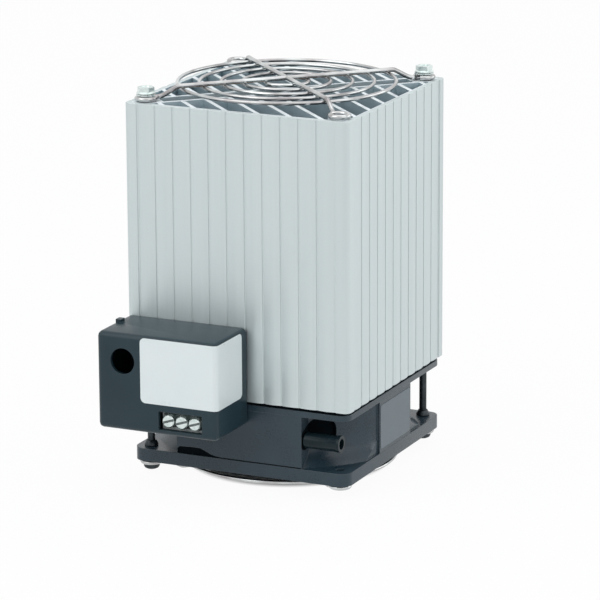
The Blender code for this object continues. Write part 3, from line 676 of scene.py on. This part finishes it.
def pocket_x(x, y):
    """The opening slants to the left as it goes in from POCKET_MOUTH_Y."""
    return x - (y - POCKET_MOUTH_Y) / POCKET_SLANT


def pocket_depth(x, radius):
    """The y at which a line into the opening, starting from x at its mouth, meets the radius."""
    y = -50.0
    for _ in range(20):
        y = -sqrt(radius ** 2 - pocket_x(x, y) ** 2)
    return y


def opening_shade():
    """The unlit sides and back of the arched opening over the connector."""
    # The arch: its middle, its springing height, its floor, half width and rise
    middle, spring, low, half, rise = 42.7, 24.3, 20.0, 7.0, 6.5
    # The step's face, half the thickness of the back, and both sides of the lining in the arch
    wall_x, sheet, fit, thin = 34.5, 0.05, 0.99, 0.965
    columns = 16
    verts = []
    for radius in (POCKET_FLOOR_R - sheet, POCKET_FLOOR_R + sheet):
        for i in range(columns + 1):
            u = 2 * i / columns - 1
            x = middle + half * fit * u
            top = spring + rise * fit * sqrt(max(0.0, 1 - u * u))
            y = pocket_depth(x, radius)
            verts += [(pocket_x(x, y), y, low), (pocket_x(x, y), y, top)]
    n = 2 * (columns + 1)
    faces = []
    for i in range(columns):
        a = 2 * i
        faces.append((a, a + 2, a + 3, a + 1))
        faces.append((n + a, n + a + 1, n + a + 3, n + a + 2))
    rim = list(range(0, n, 2)) + list(range(n - 1, 0, -2))
    for p, q in zip(rim, rim[1:] + rim[:1]):
        faces.append((p, q, n + q, n + p))
    back = (verts, faces)

    outline = [(1.0, low - spring)]
    outline += [(cos(radians(a)), rise * sin(radians(a))) for a in range(0, 181, 12)]
    outline += [(-1.0, low - spring)]
    verts, faces = [], []
    for across, up in outline:
        corner = []
        for inset in (fit, thin):
            x = middle + half * across * inset
            z = spring + (up * inset if up > 0 else up)
            mouth = pocket_depth(x, POCKET_MOUTH_R)
            if pocket_x(x, mouth) < wall_x:
                mouth = POCKET_SLANT * (x - wall_x) + POCKET_MOUTH_Y
            ends = (mouth, pocket_depth(x, POCKET_FLOOR_R))
            corner.append([(pocket_x(x, y), y, z) for y in ends])
        verts += [corner[0][0], corner[0][1], corner[1][1], corner[1][0]]
    for i in range(len(outline) - 1):
        a = 4 * i
        for k in range(4):
            j = (k + 1) % 4
            faces.append((a + k, a + j, a + 4 + j, a + 4 + k))
    last = 4 * len(outline) - 4
    faces += [(0, 1, 2, 3), (last, last + 3, last + 2, last + 1)]
    verts, faces = merged([back, (verts, faces)])
    return add("opening_shade", verts, faces, "cast_black", mat=SHADE)


def flange_joint(housing):
    """A groove carved where the front wall stands on the lower flange, deeper at its left end, with a
    sheet of painted shade in it for the shade in the groove.
    """
    low, line, wall_x, slack = 6.6, 7.15, 34.3, 0.02
    front, floor_y, strip_front, strip_back, narrow = -60.6, -57.9, -58.5, -57.95, 0.9992
    crest = [(-wall_x, 9.2), (-33.0, 10.3), (-27.0, 10.6), (-21.5, 10.6)]
    crest += [(-18.5, 9.4), (-16.0, 8.2), (-13.0, 7.45), (-10.0, line)]
    outline = [(-wall_x, low)] + crest + [(wall_x, line), (wall_x, low)]
    carve(housing, *prism(outline, front, floor_y))
    # A thin sheet of painted shade against the back of the groove
    inner = [(x * narrow, z - slack if z > low else low + slack) for x, z in outline]
    verts, faces = prism(inner, strip_front, strip_back)
    return add("flange_joint_shade", verts, faces, "cast_black", mat=SHADE)


def rounded_square(half, radius):
    """Corners of a square about the fan axis, each rounded in six steps."""
    outline = []
    for quarter in range(4):
        start = pi / 2 * quarter
        middle = (half - radius) * sqrt(2)
        cx, cy = middle * cos(start + pi / 4), middle * sin(start + pi / 4)
        for i in range(7):
            a = start + pi / 12 * i
            outline.append((cx + radius * cos(a), cy + radius * sin(a)))
    return outline


def frame_form(outer, inner, low, high):
    """Points and faces of a flat frame between two outlines of equal length."""
    n = len(outer)
    verts = [(x, y, z) for z in (low, high) for outline in (outer, inner) for x, y in outline]
    faces = []
    for i in range(n):
        j = (i + 1) % n
        faces += [(i, j, n + j, n + i), (2 * n + i, 3 * n + i, 3 * n + j, 2 * n + j)]
        faces += [(i, 2 * n + i, 2 * n + j, j), (n + i, n + j, 3 * n + j, 3 * n + i)]
    return verts, faces


def seat_joint(housing):
    """A rebate carved all round between the fan's top flange and the extrusion, with a sheet of painted
    shade in it for the shadow under the extrusion.
    """
    half, corner, low, high = 58.3, 4.3, 36.5, 38.0
    past, over, slack, thick = 2.7, 0.5, 0.02, 0.12
    inner = rounded_square(half, corner)
    carve(housing, *frame_form(rounded_square(half + past, corner + past), inner, low, high + over))
    # A thin sheet of painted shade against the back of the rebate
    outside = rounded_square(half + thick, corner + thick)
    inside = rounded_square(half + slack, corner + slack)
    verts, faces = frame_form(outside, inside, low + slack, high - slack)
    return add("seat_joint_shade", verts, faces, "cast_black", mat=SHADE)


def socket_shade():
    """The unlit mouth round the root of the connector, on the step of the front wall."""
    face, thick, front, back = 34.52, 0.14, -59.3, -50.9
    middle_y, middle_z, radius, steps = -55.06, 20.8, 5.3, 32
    outline = []
    for i in range(steps):
        a = 2 * pi * i / steps
        y = min(back, max(front, middle_y + radius * cos(a)))
        outline.append((y, middle_z + radius * sin(a)))
    verts, faces = slab(outline, face, face + thick)
    return add("socket_shade", verts, faces, "cast_black", mat=SHADE)


def slot_shades():
    """Painted shade: a dark sheet on the floor of the driver slot of each terminal screw, for the shade
    in the slot.
    """
    # The middle screw, the step to the next one, the turn of the slots and their size
    middle_x, middle_z, step, turn = -14.6, 33.9, 7.2, radians(-18)
    long, wide, near, far = 3.1, 0.57, -93.54, -93.42
    corners = ((-long, -wide), (long, -wide), (long, wide), (-long, wide))
    parts = []
    for k in (-1, 0, 1):
        outline = []
        for along, across in corners:
            x = middle_x + step * k + along * cos(turn) + across * sin(turn)
            outline.append((x, middle_z - along * sin(turn) + across * cos(turn)))
        parts.append(prism(outline, near, far))
    verts, faces = merged(parts)
    slot_floor_shade = shade("slot_floor_painted_shade", (0.13, 0.15, 0.15), (0.21, 0.235, 0.235))
    return add("terminal_slot_shades", verts, faces, "zinc_plated_steel", mat=slot_floor_shade)


# Studio


def seen(tree):
    """1 for rays from the camera and from reflections, where the background shows white."""
    path = tree.nodes.new("ShaderNodeLightPath")
    total = path.outputs["Is Camera Ray"]
    for kind in ("Is Glossy Ray", "Is Transmission Ray"):
        both = tree.nodes.new("ShaderNodeMath")
        both.operation = "ADD"
        both.use_clamp = True
        tree.links.new(total, both.inputs[0])
        tree.links.new(path.outputs[kind], both.inputs[1])
        total = both.outputs[0]
    return total


def under_fan(tree):
    """The floor's share of white: none in the shadow under the fan, and most of it around."""
    dark, clear, most = 0.046, 0.053, 0.95  # two distances in metres, and the white around
    coords = tree.nodes.new("ShaderNodeTexCoord")
    away = tree.nodes.new("ShaderNodeVectorMath")
    away.operation = "DISTANCE"
    away.inputs[1].default_value = ORIGIN * MM * Vector((1, 1, 0))
    tree.links.new(coords.outputs["Object"], away.inputs[0])
    white = tree.nodes.new("ShaderNodeMapRange")
    for socket, value in (("From Min", dark), ("From Max", clear), ("To Min", 0.0), ("To Max", most)):
        white.inputs[socket].default_value = value
    tree.links.new(away.outputs["Value"], white.inputs["Value"])
    return white.outputs["Result"]


def floor():
    """A pale floor that shows white to the camera and keeps a soft shadow."""
    mat = bpy.data.materials.new("studio_floor")
    mat.use_nodes = True
    tree = mat.node_tree
    shader = tree.nodes["Principled BSDF"]
    shader.inputs["Base Color"].default_value = (0.86, 0.87, 0.87, 1.0)
    shader.inputs["Roughness"].default_value = 0.9
    glow = tree.nodes.new("ShaderNodeEmission")
    glow.inputs["Strength"].default_value = 1.0
    share = tree.nodes.new("ShaderNodeMath")
    share.operation = "MULTIPLY"
    tree.links.new(under_fan(tree), share.inputs[1])
    mix = tree.nodes.new("ShaderNodeMixShader")
    tree.links.new(seen(tree), share.inputs[0])
    tree.links.new(share.outputs[0], mix.inputs["Fac"])
    tree.links.new(shader.outputs[0], mix.inputs[1])
    tree.links.new(glow.outputs[0], mix.inputs[2])
    tree.links.new(mix.outputs[0], tree.nodes["Material Output"].inputs["Surface"])
    size, drop = 6.0, 0.0004
    mesh = bpy.data.meshes.new("floor")
    corners = [(-size, -size, 0), (size, -size, 0), (size, size, 0), (-size, size, 0)]
    mesh.from_pydata(corners, [], [(0, 1, 2, 3)])
    obj = bpy.data.objects.new("floor", mesh)
    obj.location = (0, 0, -drop)
    bpy.context.scene.collection.objects.link(obj)
    mesh.materials.append(mat)


def world():
    """Even light on the heater, and white to the camera and in reflections."""
    scene = bpy.context.scene
    scene.world = bpy.data.worlds.new("studio")
    scene.world.use_nodes = True
    tree = scene.world.node_tree
    light = tree.nodes["Background"]
    light.inputs["Color"].default_value = (0.95, 0.98, 1.0, 1.0)
    light.inputs["Strength"].default_value = 0.5
    white = tree.nodes.new("ShaderNodeBackground")
    white.inputs["Color"].default_value = (1, 1, 1, 1)
    white.inputs["Strength"].default_value = 1.0
    mix = tree.nodes.new("ShaderNodeMixShader")
    tree.links.new(seen(tree), mix.inputs["Fac"])
    tree.links.new(light.outputs[0], mix.inputs[1])
    tree.links.new(white.outputs[0], mix.inputs[2])
    tree.links.new(mix.outputs[0], tree.nodes["World Output"].inputs["Surface"])


def lamp(name, place, size, power):
    """A soft rectangular lamp that faces the middle of the heater."""
    aim = Vector((0, 0, 0.1))
    data = bpy.data.lights.new(name, "AREA")
    data.shape = "RECTANGLE"
    data.size, data.size_y = size
    data.energy = power
    obj = bpy.data.objects.new(name, data)
    obj.location = place
    obj.rotation_euler = (aim - Vector(place)).to_track_quat("-Z", "Y").to_euler()
    bpy.context.scene.collection.objects.link(obj)


def camera():
    """The photograph's view: long lens, about 25 degrees round from the box face and 15 up."""
    focal, width, sensor = 3693, 600, 36.0  # pixels, pixels, millimetres
    right = Vector((0.90775345, 0.41947575, -0.00487552))
    up = Vector((-0.10253885, 0.23313562, 0.96702304))
    back = Vector((0.40677937, -0.87731857, 0.25464222))
    data = bpy.data.cameras.new("camera")
    data.sensor_width = sensor
    data.lens = focal / width * sensor
    data.clip_end = 20.0
    obj = bpy.data.objects.new("camera", data)
    bpy.context.scene.collection.objects.link(obj)
    turn = Matrix((right, up, back)).transposed().to_4x4()
    obj.matrix_world = Matrix.Translation((0.76970, -1.62870, 0.56120)) @ turn
    bpy.context.scene.camera = obj


for leftover in list(bpy.data.objects):
    bpy.data.objects.remove(leftover)
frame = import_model()

dress("heatsink_extrusion", "extruded_aluminium", shape=fill_groove)
housing = dress("fan_housing", "cast_black")
dress("fan_terminal_plug", "rotor_black")
dress("fan_impeller", "rotor_black", body="rotor")
dress("fan_shaft", "bearing_steel", body="rotor")
for part in ("fan_bearing_lower", "fan_bearing_upper"):
    dress(part, "bearing_steel")
dress("fan_stator", "winding")
for part in ("heating_element_left", "heating_element_right"):
    dress(part, "element_film", bevel=0.8)
for part in ("top_screw_left", "top_screw_right", "top_washer_left", "top_washer_right"):
    dress(part, "zinc_plated_steel")
for part in ("bottom_screw_left", "bottom_screw_right", "screw_collar_left", "screw_collar_right"):
    dress(part, "blackened_steel")
dress("terminal_box_cover", "box_plastic")
dress("terminal_box_base", "box_plastic", bevel=0.3)
dress("terminal_block", "pale_plastic", bevel=0.3)
for k in (1, 2, 3):
    dress("terminal_screw_%d" % k, "zinc_plated_steel")
guard("guard_top_wires", "guard_top", GUARD_TOP_Z, False)
guard("guard_bottom_wires", "guard_bottom", GUARD_BOTTOM_Z, True)
label()
fan_plate()
flange_joint(housing)
seat_joint(housing)
opening_shade()
socket_shade()
slot_shades()

floor()
world()
lamp("key", (-1.2, -1.8, 1.9), (2.4, 2.4), 27)
lamp("fill", (2.0, -0.7, 1.2), (2.0, 2.0), 7)
lamp("rim", (1.9, 1.5, 0.7), (1.6, 1.2), 8)
lamp("top", (0.1, 0.2, 2.2), (2.4, 2.0), 12)
camera()

scene = bpy.context.scene
scene.view_settings.view_transform = "Standard"
